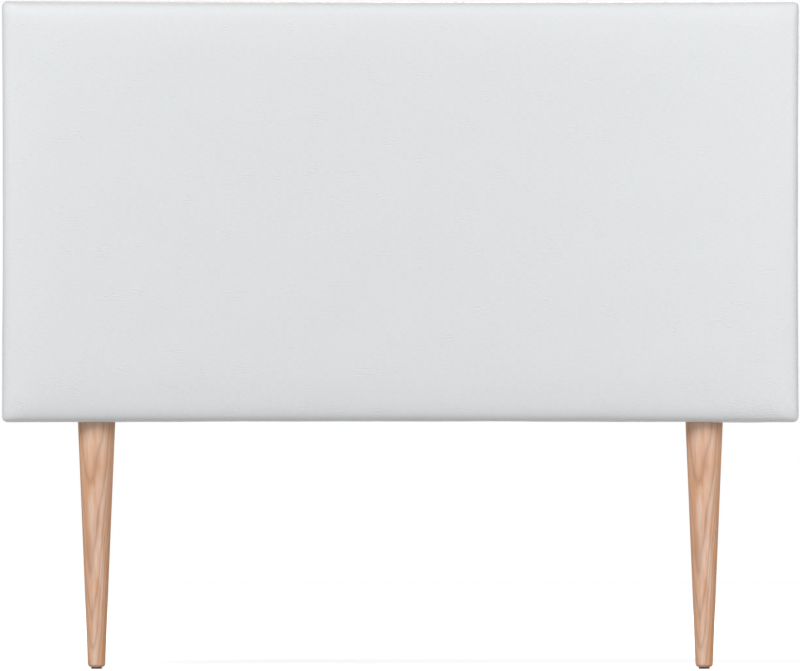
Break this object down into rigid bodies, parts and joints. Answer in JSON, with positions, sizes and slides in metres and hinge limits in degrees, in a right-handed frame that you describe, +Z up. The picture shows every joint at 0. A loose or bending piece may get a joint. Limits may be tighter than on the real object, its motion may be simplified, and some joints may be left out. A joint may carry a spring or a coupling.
{
  "type": "headboard",
  "caption": "Upholstered headboard: a padded, drawn-in rectangular panel in white synthetic leather on turned, tapered wooden legs, with keyhole wall hangers behind.",
  "frame": {"origin": "on the floor, under the middle of the part's overall box", "axes": "+X along the width, -Y towards the bed and the viewer, +Y towards the wall, +Z up"},
  "size_m": [1.15, 0.0914, 0.9643],
  "materials": {
    "cover": "white synthetic leather with a fine embossed grain, satin",
    "wadding": "white polyester wadding",
    "foam": "pale yellow polyurethane foam",
    "board": "plain medium-density fibreboard",
    "pine": "planed pine",
    "zinc_screw": "zinc plated",
    "wire_nail": "bright steel wire",
    "lining": "black spunbonded lining",
    "staple_wire": "galvanised wire",
    "leg_wood": "turned beech-like hardwood, satin varnish",
    "zinc_bolt": "zinc plated",
    "glide_plastic": "dark brown moulded plastic",
    "hanger_steel": "zinc plated, pressed"
  },
  "bodies": {
    "root": {"cover": "cover", "wadding": "wadding", "foam_pad": "foam", "backing_board": "board", "top_rail": "pine", "bottom_rail": "pine", "left_stile": "pine", "centre_stile": "pine", "right_stile": "pine", "frame_screws": "zinc_screw", "board_nails": "wire_nail", "back_lining": "lining", "cover_staples": "staple_wire", "lining_staples": "staple_wire", "hanger_screws": "zinc_screw", "left_leg": "leg_wood", "left_leg_bolt": "zinc_bolt", "left_tee_nut": "zinc_bolt", "left_glide": "glide_plastic", "left_glide_nail": "wire_nail", "left_hanger": "hanger_steel", "right_leg": "leg_wood", "right_leg_bolt": "zinc_bolt", "right_tee_nut": "zinc_bolt", "right_glide": "glide_plastic", "right_glide_nail": "wire_nail", "right_hanger": "hanger_steel"}
  },
  "joints": []
}
